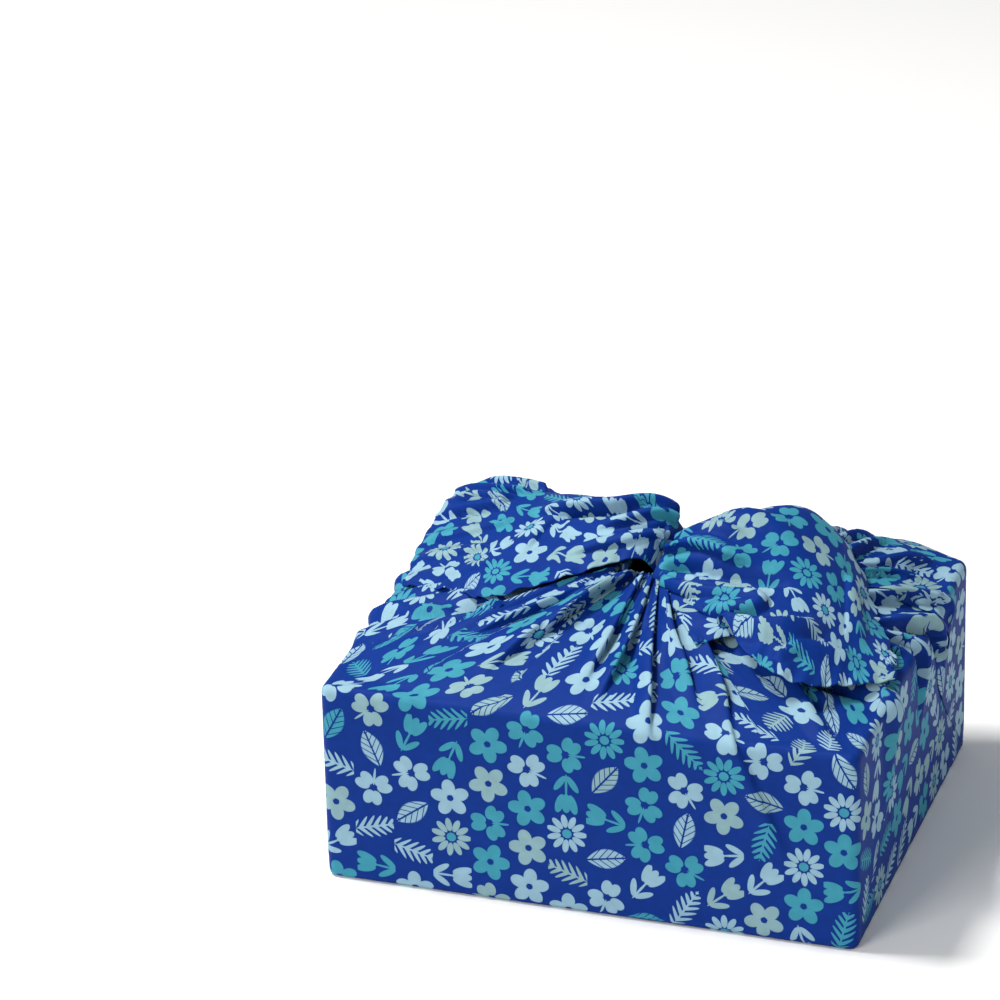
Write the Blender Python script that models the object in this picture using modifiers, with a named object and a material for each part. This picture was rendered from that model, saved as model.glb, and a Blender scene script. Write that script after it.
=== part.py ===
# Furoshiki wrap knotted round a gift box
#
# One square of cotton cloth stands under and round a box, drawn up over its lid into a tent of
# pleats and tied there. The knot's two main tails lie over the tent as broad ears, and a third
# tail peeps out in front of the knot. The box is a plain block inside the cloth.
# Metres, +Z up, front towards -Y. The origin is the middle of the flat underside.

import math

import bmesh
import bpy
from mathutils import Matrix, Vector

MM = 0.001

# Wrapped box, outside of the cloth
WIDTH = 280 * MM
DEPTH = 225.5 * MM
HEIGHT = 109.5 * MM
CORNER_RADIUS = 5 * MM
TOP_EDGE_RADIUS = 4 * MM
FOOT_EDGE_RADIUS = 3 * MM

# Cloth and the box in it
CLOTH_THICK = 2 * MM
TAIL_THICK = 2 * MM
BOX_SIDE_CLEARANCE = 2 * MM
BOX_FOOT_CLEARANCE = 0.3 * MM

# Tent of cloth drawn up over the lid to the knot
NECK_X = 0 * MM
NECK_Y = 4 * MM
TENT_RISE = 31 * MM
TENT_POWER = 0.75
TENT_SQUARENESS = 5
TENT_EDGE_SOFTNESS = 0.015
NECK_SHARE = 0.085
TOP_ROWS = 9
TOP_EDGE_TURNS = (35, 65, 90)
SIDE_ROWS = 4
FOOT_EDGE_TURNS = (45, 90)
FOLD_FREE_FOOT = 9 * MM
CORNER_STEPS = 3
COLUMN_SPACING = {"front": 6 * MM, "right": 4.6 * MM, "back": 9.5 * MM, "left": 8.5 * MM}

# Slot between the pleats, under the left ear, that leaves the inside of the cloth open
SLOT_CENTRE = (-62 * MM, 6 * MM)
SLOT_SIZE = (26 * MM, 4.5 * MM)
SLOT_TOP = 134.5 * MM

# Space inside the cloth
INSIDE_SPACING = 32 * MM
INSIDE_SHARES = (0.1, 0.3, 0.5, 0.7, 0.85, 0.95)
INSIDE_TENT_DROP = 2.3 * MM

KNOT_CENTRE = (0 * MM, 12 * MM, 141 * MM)
KNOT_RADII = (13 * MM, 19 * MM, 13 * MM)
KNOT_SEGMENTS = 16
KNOT_RINGS = 10

# Pleats and folds of the tent and the sides. A path runs outwards from the knot through points
# (mm) of the lid laid flat, on which the front and the sides are folded up level with it.
# left and right are the half widths on either hand when walking outwards, so the narrow one is
# the steep side, and rise is how far the fold stands off the cloth beside it, or sinks below it.
WRAP_FOLDS = [
    # name, path, left, right, rise
    ("front left ridge", ((-12, -8), (-55, -29), (-124, -94)), 8, 11, 5.0),
    ("front left soft", ((-12, -14), (-41, -52), (-64, -92)), 7, 9, 3.5),
    ("fan 1", ((-6, -8), (-28, -32), (-46, -66)), 4, 8, 5.5),
    ("fan 2", ((-3, -10), (-6, -42), (-10, -92)), 4, 7, 5.0),
    ("fan 3", ((2, -10), (4, -48), (1, -106)), 4, 6, 5.0),
    ("fan 4", ((5, -10), (18, -70), (36, -128)), 4, 6, 4.0),
    ("fan 5", ((8, -10), (24, -52), (56, -100)), 4, 7, 4.5),
    ("fan 6", ((12, -14), (48, -66), (76, -112)), 6, 9, 4.0),
    ("front crease", ((66, -92), (84, -132), (111, -190)), 3, 10, 1.8),
    ("corner roll", ((14, -12), (68, -44), (134, -112)), 9, 5, 8.0),
    ("right corner flap", ((96, -52), (138, -52), (218, -47)), 3, 14, 3.0),
    ("right pleat 1", ((20, 0), (118, -4), (178, 18)), 9, 5.5, 4.5),
    ("right pleat 2", ((20, 8), (118, 12), (200, 58)), 10, 5.5, 5.0),
    ("right pleat 3", ((20, 14), (112, 42), (170, 70)), 7, 5, 4.0),
    ("right pleat 4", ((18, 18), (104, 70), (150, 92)), 5, 5, 5.0),
    ("right pleat 5", ((16, 20), (96, 84), (140, 106)), 5, 5, 5.0),
    ("back pleat 1", ((10, 22), (58, 84), (84, 126)), 7, 5, 5.0),
    ("back pleat 2", ((6, 22), (30, 78), (44, 118)), 7, 5, 5.5),
    ("back pleat 3", ((0, 22), (4, 80), (10, 124)), 7, 5, 5.0),
    ("back pleat 4", ((-6, 22), (-26, 78), (-34, 118)), 7, 5, 5.5),
    ("back pleat 5", ((-10, 22), (-56, 82), (-80, 120)), 7, 5, 5.0),
    ("left pleat 1", ((-16, 18), (-88, 66), (-136, 92)), 7, 5, 5.0),
    ("left pleat 2", ((-18, 12), (-96, 36), (-160, 50)), 7, 5, 5.0),
    ("left pleat 3", ((-20, 4), (-100, 8), (-170, 12)), 7, 5, 5.0),
    ("left pleat 4", ((-18, -2), (-98, -28), (-168, -30)), 7, 5, 4.5),
    ("left corner flap", ((-100, -62), (-138, -60), (-214, -54)), 14, 3, 3.0),
]
FOLD_STEPS_PER_SPAN = 4
FOLD_FADE_IN = 0.06
FOLD_FADE_OUT = 0.35

# Tails of the cloth, a row for each section across, from the knot outwards (mm)
LEFT_EAR = [
    # hem, belly, crest, back
    ((2, -8, 137), (8, 4, 142), (14, 24, 147), (10, 36, 142)),
    ((-4, -11, 145), (0, 2, 156), (1, 27, 163), (-3, 43, 150)),
    ((-22, -19, 145), (-22, 4, 155), (-30, 37, 160), (-26, 56, 142)),
    ((-45, -25, 139), (-46, 8, 149), (-50, 46, 154), (-44, 72, 132)),
    ((-76, -34, 131), (-74, 8, 141), (-76, 64, 143), (-68, 88, 125)),
    ((-100, -20, 126), (-102, 30, 131), (-104, 80, 136), (-92, 102, 118)),
    ((-133, -4, 117), (-138, 48, 118), (-131, 90, 128), (-112, 107, 114)),
]
RIGHT_EAR = [
    # hem, belly, crest, back
    ((2, -12, 136), (5, -5, 144), (7, 12, 150), (6, 28, 145)),
    ((27, -31, 140), (26, -17, 151), (28, 13, 162), (24, 36, 148)),
    ((50, -48, 139), (50, -22, 152), (46, 26, 166), (42, 54, 142)),
    ((72, -66, 135), (72, -26, 151), (68, 44, 162), (60, 70, 136)),
    ((88, -76, 132), (90, -32, 145), (88, 42, 148), (84, 66, 129)),
    ((106, -75, 127), (106, -38, 136), (102, 26, 136), (104, 44, 125)),
    ((121, -62, 122), (118, -40, 127), (114, -2, 126), (119, 10, 121)),
    ((138, -38, 115), (136, -34, 117), (133, -27, 117), (136, -20, 115)),
]
THIRD_TAIL = [
    # left edge, middle, right edge
    ((8, -18, 138), (14, -20, 142), (20, -22, 142)),
    ((20, -32, 139), (28, -34, 142), (36, -34, 142)),
    ((32, -46, 136), (42, -46, 139), (52, -42, 140)),
    ((42, -60, 133), (48, -57, 135), (60, -50, 137)),
]

# Folds of the ears, with paths in plan (mm) and the same columns as the pleats
LEFT_EAR_FOLDS = [
    ("back roll", ((6, 24), (-14, 31), (-40, 36), (-74, 38)), 7, 7, 4.0),
    ("knot hollow", ((8, 14), (-8, 14), (-28, 19), (-52, 22)), 5, 5, -3.5),
    ("knot roll", ((8, 4), (-8, 4), (-30, 6)), 6, 6, 2.5),
    ("soft crease", ((-50, 28), (-64, 20), (-70, -8)), 9, 9, 1.5),
    ("end fold 1", ((-84, 2), (-116, 8), (-146, 10)), 6, 6, 3.0),
    ("end fold 2", ((-84, 34), (-116, 34), (-146, 34)), 6, 6, 3.0),
    ("end fold 3", ((-96, 60), (-120, 58), (-146, 58)), 6, 6, 3.0),
    ("tip fold", ((-88, 78), (-112, 80), (-134, 84)), 7, 6, 4.0),
]
RIGHT_EAR_FOLDS = [
    ("hairpin", ((8, -11), (30, -24), (56, -24), (71, -29), (66, -39), (44, -37), (10, -16)), 7, 7, 3.6),
    ("pocket", ((22, -25), (46, -31), (64, -32)), 6, 6, -2.0),
    ("second fold", ((12, -18), (38, -36), (70, -53), (86, -55), (97, -44), (98, -28)), 7, 7, 4.5),
    ("upper hollow", ((8, -4), (26, -10), (47, -16), (70, -16), (92, -10)), 8, 7, -3.5),
    ("shoulder", ((12, 4), (34, 8), (62, 6), (90, 2)), 9, 9, 2.5),
]
LEFT_EAR_STEPS = (29, 17)
RIGHT_EAR_STEPS = (33, 20)
THIRD_TAIL_STEPS = (6, 5)


def clear_scene():
    """Start from an empty scene."""
    for old in list(bpy.data.objects):
        bpy.data.objects.remove(old, do_unlink=True)


def new_collection(name):
    """Add a collection to the scene."""
    made = bpy.data.collections.new(name)
    bpy.context.scene.collection.children.link(made)
    return made


def finish_material(name, colour, roughness):
    """A Principled material for one sub-part."""
    made = bpy.data.materials.new(name)
    made.use_nodes = True
    shader = made.node_tree.nodes["Principled BSDF"]
    shader.inputs["Base Color"].default_value = (*colour, 1)
    shader.inputs["Roughness"].default_value = roughness
    shader.inputs["Metallic"].default_value = 0
    return made


def ease(t):
    """Run smoothly from 0 to 1."""
    t = min(max(t, 0), 1)
    return t * t * (3 - 2 * t)


def smooth_between(points, steps):
    """Evenly spread points on a smooth curve that passes through each of the given points."""
    spans = len(points) - 1
    ends = [points[0] * 2 - points[1], *points, points[-1] * 2 - points[-2]]
    made = []
    for i in range(steps + 1):
        at = i / steps * spans
        span = min(int(at), spans - 1)
        t = at - span
        a, b, c, d = ends[span : span + 4]
        made.append(
            (b * 2 + (c - a) * t + (a * 2 - b * 5 + c * 4 - d) * t**2 + (b * 3 - a - c * 3 + d) * t**3) / 2
        )
    return made


def laid_out(folds):
    """The folds of a table with their paths smoothed, in metres."""
    made = []
    for _, path, left, right, rise in folds:
        corners = [Vector(point) * MM for point in path]
        smooth = smooth_between(corners, FOLD_STEPS_PER_SPAN * (len(path) - 1))
        made.append((smooth, left * MM, right * MM, rise * MM))
    return made


def fold_rise(x, y, folds):
    """How far the highest fold stands off the cloth, and the deepest sinks, at a point of the plan."""
    highest, lowest = 0, 0
    for path, left, right, rise in folds:
        nearest = None
        for i, (a, b) in enumerate(zip(path, path[1:])):
            run = (b[0] - a[0], b[1] - a[1])
            off = (x - a[0], y - a[1])
            share = (off[0] * run[0] + off[1] * run[1]) / (run[0] ** 2 + run[1] ** 2)
            share = min(max(share, 0), 1)
            gap = math.hypot(off[0] - share * run[0], off[1] - share * run[1])
            if nearest is None or gap < nearest[0]:
                hand = run[0] * off[1] - run[1] * off[0]
                nearest = (gap, hand, (i + share) / (len(path) - 1))
        gap, hand, along = nearest
        half = left if hand > 0 else right
        if gap < half:
            fade = ease(along / FOLD_FADE_IN) * ease((1 - along) / FOLD_FADE_OUT)
            height = rise * fade * (1 - (gap / half) ** 2) ** 1.5
            highest, lowest = max(highest, height), min(lowest, height)
    return highest + lowest


def tent_height(x, y):
    """Height of the tent of cloth over a point of the lid, without its pleats."""
    across = abs(x - NECK_X) / (WIDTH / 2 + math.copysign(NECK_X, NECK_X - x))
    deep = abs(y - NECK_Y) / (DEPTH / 2 + math.copysign(NECK_Y, NECK_Y - y))
    out = (across**TENT_SQUARENESS + deep**TENT_SQUARENESS) ** (1 / TENT_SQUARENESS)
    in_from_edge = max(0, 1 - out)
    soft = in_from_edge / (in_from_edge + TENT_EDGE_SOFTNESS)
    return HEIGHT + TENT_RISE * in_from_edge**TENT_POWER * soft


def outline(half_x, half_y, radius, spacing):
    """Points round a rounded rectangle, anticlockwise, each with the direction that it faces."""
    points = []
    for side, facing in (("front", (0, -1)), ("right", (1, 0)), ("back", (0, 1)), ("left", (-1, 0))):
        along = (-facing[1], facing[0])
        out, run = (half_y, half_x - radius) if facing[1] else (half_x, half_y - radius)
        count = max(1, round(2 * run / spacing[side]))
        for i in range(count + 1):
            at = -run + 2 * run * i / count
            points.append((facing[0] * out + along[0] * at, facing[1] * out + along[1] * at, *facing))
        hub = [facing[n] * (out - radius) + along[n] * run for n in (0, 1)]
        for j in range(1, CORNER_STEPS):
            turn = j / CORNER_STEPS * math.pi / 2
            faces = [facing[n] * math.cos(turn) + along[n] * math.sin(turn) for n in (0, 1)]
            points.append((hub[0] + radius * faces[0], hub[1] + radius * faces[1], *faces))
    return points


def flat_spot(column, drop):
    """A side's point as it lies with the sides folded up level with the lid."""
    x, y, face_x, face_y = column
    return x + face_x * drop, y + face_y * drop


def wrapped_rings(folds):
    """Rings of the cloth's outside, from the neck over the lid's edge down to the underside."""
    columns = outline(WIDTH / 2, DEPTH / 2, CORNER_RADIUS, COLUMN_SPACING)
    rings = []
    for row in range(TOP_ROWS + 1):
        share = NECK_SHARE + (1 - NECK_SHARE) * row / TOP_ROWS
        ring = []
        for x, y, face_x, face_y in columns:
            px = NECK_X + (x - face_x * TOP_EDGE_RADIUS - NECK_X) * share
            py = NECK_Y + (y - face_y * TOP_EDGE_RADIUS - NECK_Y) * share
            ring.append(Vector((px, py, tent_height(px, py) + fold_rise(px, py, folds))))
        rings.append(ring)
    for degrees in TOP_EDGE_TURNS:
        turn = math.radians(degrees)
        ring = []
        for column in columns:
            x, y, face_x, face_y = column
            out = Vector((face_x * math.sin(turn), face_y * math.sin(turn), math.cos(turn)))
            hub = Vector((x - face_x * TOP_EDGE_RADIUS, y - face_y * TOP_EDGE_RADIUS, HEIGHT - TOP_EDGE_RADIUS))
            drop = TOP_EDGE_RADIUS * (math.sin(turn) - math.cos(turn))
            rise = fold_rise(*flat_spot(column, drop), folds)
            ring.append(hub + out * (TOP_EDGE_RADIUS + rise))
        rings.append(ring)
    shoulder = HEIGHT - TOP_EDGE_RADIUS
    for row in range(1, SIDE_ROWS + 1):
        z = shoulder + (FOOT_EDGE_RADIUS - shoulder) * row / SIDE_ROWS
        ring = []
        for column in columns:
            x, y, face_x, face_y = column
            free = ease((z - FOOT_EDGE_RADIUS) / FOLD_FREE_FOOT)
            rise = fold_rise(*flat_spot(column, HEIGHT - z), folds) * free
            ring.append(Vector((x + face_x * rise, y + face_y * rise, z)))
        rings.append(ring)
    for degrees in FOOT_EDGE_TURNS:
        turn = math.radians(degrees)
        back = FOOT_EDGE_RADIUS * (1 - math.cos(turn))
        z = FOOT_EDGE_RADIUS * (1 - math.sin(turn))
        rings.append([Vector((x - face_x * back, y - face_y * back, z)) for x, y, face_x, face_y in columns])
    return rings


def inner_rings():
    """Rings of the space inside the cloth, a plain tent on straight walls."""
    coarse = {side: INSIDE_SPACING for side in COLUMN_SPACING}
    columns = outline(WIDTH / 2 - CLOTH_THICK, DEPTH / 2 - CLOTH_THICK, CORNER_RADIUS - CLOTH_THICK, coarse)
    rings = []
    for share in INSIDE_SHARES:
        ring = []
        for x, y, _, _ in columns:
            px, py = NECK_X + (x - NECK_X) * share, NECK_Y + (y - NECK_Y) * share
            ring.append(Vector((px, py, tent_height(px, py) - INSIDE_TENT_DROP)))
        rings.append(ring)
    for z in (HEIGHT - CLOTH_THICK, CLOTH_THICK):
        rings.append([Vector((x, y, z)) for x, y, _, _ in columns])
    return rings


def closed_loft(name, rings):
    """A closed mesh through rings of equal count, its two ends closed to a middle point."""
    mesh = bpy.data.meshes.new(name)
    built = bmesh.new()
    rows = [[built.verts.new(point) for point in ring] for ring in rings]
    count = len(rings[0])
    for upper, lower in zip(rows, rows[1:]):
        for i in range(count):
            j = (i + 1) % count
            built.faces.new((upper[i], lower[i], lower[j], upper[j]))
    for ring, turned in ((rows[0], False), (rows[-1], True)):
        middle = built.verts.new(sum((v.co for v in ring), Vector()) / count)
        for i in range(count):
            j = (i + 1) % count
            built.faces.new((ring[j], ring[i], middle) if turned else (ring[i], ring[j], middle))
    bmesh.ops.recalc_face_normals(built, faces=built.faces)
    bmesh.ops.triangulate(built, faces=built.faces)
    built.to_mesh(mesh)
    built.free()
    return mesh


def tail_sheet(name, sections, folds, steps):
    """An open sheet of cloth through the sections of a tail, raised and sunk along its folds."""
    along, across = steps
    lines = [smooth_between([Vector(point) * MM for point in section], across) for section in sections]
    runs = [smooth_between([line[j] for line in lines], along) for j in range(across + 1)]
    mesh = bpy.data.meshes.new(name)
    built = bmesh.new()
    grid = [[built.verts.new(point) for point in run] for run in runs]
    for low, high in zip(grid, grid[1:]):
        for i in range(along):
            built.faces.new((low[i], low[i + 1], high[i + 1], high[i]))
    built.normal_update()
    shifts = [(v, v.normal * fold_rise(v.co.x, v.co.y, folds)) for v in built.verts]
    for vertex, shift in shifts:
        vertex.co += shift
    bmesh.ops.triangulate(built, faces=built.faces)
    built.to_mesh(mesh)
    built.free()
    return mesh


def add_object(name, mesh, collection):
    """Put a mesh into the scene as an object."""
    made = bpy.data.objects.new(name, mesh)
    collection.objects.link(made)
    return made


def move_to(made, name, collection):
    """Name an object that a primitive call made and put it in its collection."""
    made.name = name
    made.data.name = name
    for home in list(made.users_collection):
        home.objects.unlink(made)
    collection.objects.link(made)
    return made


def hide_as_cutter(tool):
    """Keep a helper solid out of the picture."""
    tool.hide_render = True
    tool.display_type = "WIRE"


def apply_modifiers(target):
    """Give the object the mesh that its modifiers make."""
    shaped = bpy.data.meshes.new_from_object(target.evaluated_get(bpy.context.evaluated_depsgraph_get()))
    target.modifiers.clear()
    target.data = shaped


def combine(target, tool, operation):
    """Join a tool to the target or cut it out of the target."""
    step = target.modifiers.new(f"{operation.lower()} {tool.name}", "BOOLEAN")
    step.operation = operation
    step.solver = "EXACT"
    step.object = tool


def make_tail(name, sections, folds, steps, cutters):
    """A tail of the cloth as a thin solid."""
    tail = add_object(name, tail_sheet(name, sections, laid_out(folds), steps), cutters)
    thicken = tail.modifiers.new("cloth thickness", "SOLIDIFY")
    thicken.thickness = TAIL_THICK
    thicken.offset = 0
    thicken.use_rim = True
    apply_modifiers(tail)
    hide_as_cutter(tail)
    return tail


def make_knot(cutters):
    """The hard core of the knot, which the tails wrap."""
    bpy.ops.mesh.primitive_uv_sphere_add(segments=KNOT_SEGMENTS, ring_count=KNOT_RINGS, radius=1)
    knot = move_to(bpy.context.object, "knot core", cutters)
    knot.data.transform(Matrix.Translation(KNOT_CENTRE) @ Matrix.Diagonal((*KNOT_RADII, 1)))
    hide_as_cutter(knot)
    return knot


def make_slot(cutters):
    """The slot between two pleats, from over the tent down into the space inside."""
    bpy.ops.mesh.primitive_cube_add(size=1)
    slot = move_to(bpy.context.object, "slot", cutters)
    middle = (*SLOT_CENTRE, (SLOT_TOP + HEIGHT) / 2)
    slot.data.transform(Matrix.Translation(middle) @ Matrix.Diagonal((*SLOT_SIZE, SLOT_TOP - HEIGHT, 1)))
    hide_as_cutter(slot)
    return slot


def make_furoshiki(parts, cutters):
    """The one piece of cloth: tent, sides, underside, knot and tails."""
    cloth = add_object("furoshiki", closed_loft("furoshiki", wrapped_rings(laid_out(WRAP_FOLDS))), parts)
    inside = add_object("inside of the cloth", closed_loft("inside of the cloth", inner_rings()), cutters)
    hide_as_cutter(inside)
    combine(cloth, inside, "DIFFERENCE")
    combine(cloth, make_slot(cutters), "DIFFERENCE")
    combine(cloth, make_knot(cutters), "UNION")
    combine(cloth, make_tail("left ear", LEFT_EAR, LEFT_EAR_FOLDS, LEFT_EAR_STEPS, cutters), "UNION")
    combine(cloth, make_tail("right ear", RIGHT_EAR, RIGHT_EAR_FOLDS, RIGHT_EAR_STEPS, cutters), "UNION")
    combine(cloth, make_tail("third tail", THIRD_TAIL, [], THIRD_TAIL_STEPS, cutters), "UNION")
    cloth.data.materials.append(finish_material("printed cotton", (0.03, 0.07, 0.42), 0.7))
    return cloth


def make_gift_box(parts):
    """The box inside, which the cloth is stretched round."""
    inset = CLOTH_THICK + BOX_SIDE_CLEARANCE
    low, high = CLOTH_THICK + BOX_FOOT_CLEARANCE, HEIGHT - inset
    bpy.ops.mesh.primitive_cube_add(size=1, location=(0, 0, (low + high) / 2))
    box = move_to(bpy.context.object, "gift_box", parts)
    box.data.transform(Matrix.Diagonal((WIDTH - 2 * inset, DEPTH - 2 * inset, high - low, 1)))
    box.data.materials.append(finish_material("box card", (0.62, 0.55, 0.44), 0.85))
    return box


clear_scene()
parts_collection = new_collection("furoshiki wrap")
cutters_collection = new_collection("cutters")
make_furoshiki(parts_collection, cutters_collection)
make_gift_box(parts_collection)
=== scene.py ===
# A furoshiki knotted round a gift box
import math

import bmesh
import bpy
import numpy as np
from mathutils import Matrix, Vector


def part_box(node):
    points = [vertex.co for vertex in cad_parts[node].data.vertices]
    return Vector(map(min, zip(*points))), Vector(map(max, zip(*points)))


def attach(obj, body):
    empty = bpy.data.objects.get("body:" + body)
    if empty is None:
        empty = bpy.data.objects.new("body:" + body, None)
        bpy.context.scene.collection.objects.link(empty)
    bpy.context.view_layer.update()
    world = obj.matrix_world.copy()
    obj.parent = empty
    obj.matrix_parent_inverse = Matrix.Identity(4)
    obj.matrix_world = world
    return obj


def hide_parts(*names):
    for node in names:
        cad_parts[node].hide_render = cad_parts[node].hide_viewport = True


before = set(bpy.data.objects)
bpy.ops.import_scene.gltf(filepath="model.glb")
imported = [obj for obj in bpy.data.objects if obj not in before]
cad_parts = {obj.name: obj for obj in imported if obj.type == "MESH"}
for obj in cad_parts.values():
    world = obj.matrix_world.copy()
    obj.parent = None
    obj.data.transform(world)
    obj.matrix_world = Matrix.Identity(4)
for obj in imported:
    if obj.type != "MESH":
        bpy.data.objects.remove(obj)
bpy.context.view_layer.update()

# The gift box in the wrap
# A low lidded box of bare greyboard. The cloth hides it on every side, so its solid stays as it
# is and only gets the board's flecked, slightly fibrous finish.

MM = 0.001
BOARD_BROWN = (0.42, 0.36, 0.28, 1)
BOARD_FLECK = (0.27, 0.23, 0.18, 1)
BOARD_FIBRE_PER_M = 900
BOARD_FIBRE_DETAIL = 4
BOARD_ROUGHNESS = 0.85
FLECK_UP_TO, PLAIN_FROM = 0.4, 0.52
BOARD_NAP = 0.1 * MM


def new_finish(name, roughness):
    """An empty node material, with its node tree and its shader."""
    made = bpy.data.materials.new(name)
    made.use_nodes = True
    shader = made.node_tree.nodes["Principled BSDF"]
    shader.inputs["Roughness"].default_value = roughness
    return made, made.node_tree, shader


board, tree, shader = new_finish("greyboard", BOARD_ROUGHNESS)
place = tree.nodes.new("ShaderNodeTexCoord")
fibres = tree.nodes.new("ShaderNodeTexNoise")
fibres.inputs["Scale"].default_value = BOARD_FIBRE_PER_M
fibres.inputs["Detail"].default_value = BOARD_FIBRE_DETAIL
tree.links.new(place.outputs["Object"], fibres.inputs["Vector"])
flecks = tree.nodes.new("ShaderNodeValToRGB")
stops = ((FLECK_UP_TO, BOARD_FLECK), (PLAIN_FROM, BOARD_BROWN))
for stop, (position, colour) in zip(flecks.color_ramp.elements, stops):
    stop.position = position
    stop.color = colour
tree.links.new(fibres.outputs["Fac"], flecks.inputs["Fac"])
tree.links.new(flecks.outputs["Color"], shader.inputs["Base Color"])
nap = tree.nodes.new("ShaderNodeBump")
nap.inputs["Distance"].default_value = BOARD_NAP
tree.links.new(fibres.outputs["Fac"], nap.inputs["Height"])
tree.links.new(nap.outputs["Normal"], shader.inputs["Normal"])
gift_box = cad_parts["gift_box"]
gift_box.data.materials.clear()
gift_box.data.materials.append(board)

# The cloth round the box
# One square of printed cotton stands under the box and goes up its four sides. Front and back
# are wrapped round the corners first, and their flaps lie over the ends of the cloth on the
# right and left. Over the lid everything is drawn together in pleats to the knot.

CLOTH_OFF_BOX = 4 * MM
_, inside_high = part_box("gift_box")
HALF_X = inside_high.x + CLOTH_OFF_BOX
HALF_Y = inside_high.y + CLOTH_OFF_BOX
LID = inside_high.z + CLOTH_OFF_BOX
CORNER = 5 * MM
TOP_EDGE = 4 * MM
FOOT_EDGE = 3 * MM
NECK = (0 * MM, 4 * MM)
NECK_SHARE = 0.075
TENT_RISE = 32.5 * MM
TENT_POWER = 0.75
TENT_SQUARENESS = 5
TENT_START = 0.03
EDGE_SLOPE = math.radians(22)
EDGE_INSET = TOP_EDGE * (1 - math.sin(EDGE_SLOPE))
TENT_FOOT = LID - TOP_EDGE * (1 - math.cos(EDGE_SLOPE))

# Walked round the outline, anticlockwise from the left end of the front
FRONT_RUN = 2 * (HALF_X - CORNER)
SIDE_RUN = 2 * (HALF_Y - CORNER)
BEND = math.pi / 2 * CORNER
FRONT_END = FRONT_RUN
RIGHT_START = FRONT_END + BEND
RIGHT_END = RIGHT_START + SIDE_RUN
BACK_START = RIGHT_END + BEND
BACK_END = BACK_START + FRONT_RUN
LEFT_START = BACK_END + BEND
LEFT_END = LEFT_START + SIDE_RUN
LAP = LEFT_END + BEND

# Corner flaps: where each starts, which way it lies, how deep it is at the lid and how full
CORNER_FLAPS = {
    "front right": (RIGHT_START, 1, 56 * MM, 4.2 * MM),
    "back right": (RIGHT_END, -1, 60 * MM, 0.7 * MM),
    "back left": (LEFT_START, 1, 62 * MM, 2.0 * MM),
    "front left": (LEFT_END, -1, 58 * MM, 2.4 * MM),
}
FLAP_SHARPNESS = 6
FLAP_PUFF_WIDTH = 15 * MM
FLAP_PUFF_FROM, FLAP_PUFF_RISE = 0.3, 0.5
FLAP_SPACING = 2.2 * MM
# The turn at a flap's edge: how far each column bulges, and its place between the layers
FLAP_EDGE = ((0.8, 1.85), (1, 1.5), (0.8, 1.15))
FLAP_BULGE = 0.012
FLAP_ROOT = 0.02
LAYER_STEP = 0.18 * MM
OWN, RETURN, OUTER = 0, 1, 2

# The mesh is fine where the pleats are seen and coarser behind them
FRONT_SPACING = 1.6 * MM
RIGHT_SPACING = 1.7 * MM
BACK_SPACING = 3 * MM
LEFT_SPACING = 2.6 * MM
LID_ROWS = 58
EDGE_TURNS = 5
WALL_ROWS = 20
FOOT_TURNS = 3
UNDER_SHARES = (0.9, 0.5, 0.12)

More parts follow.
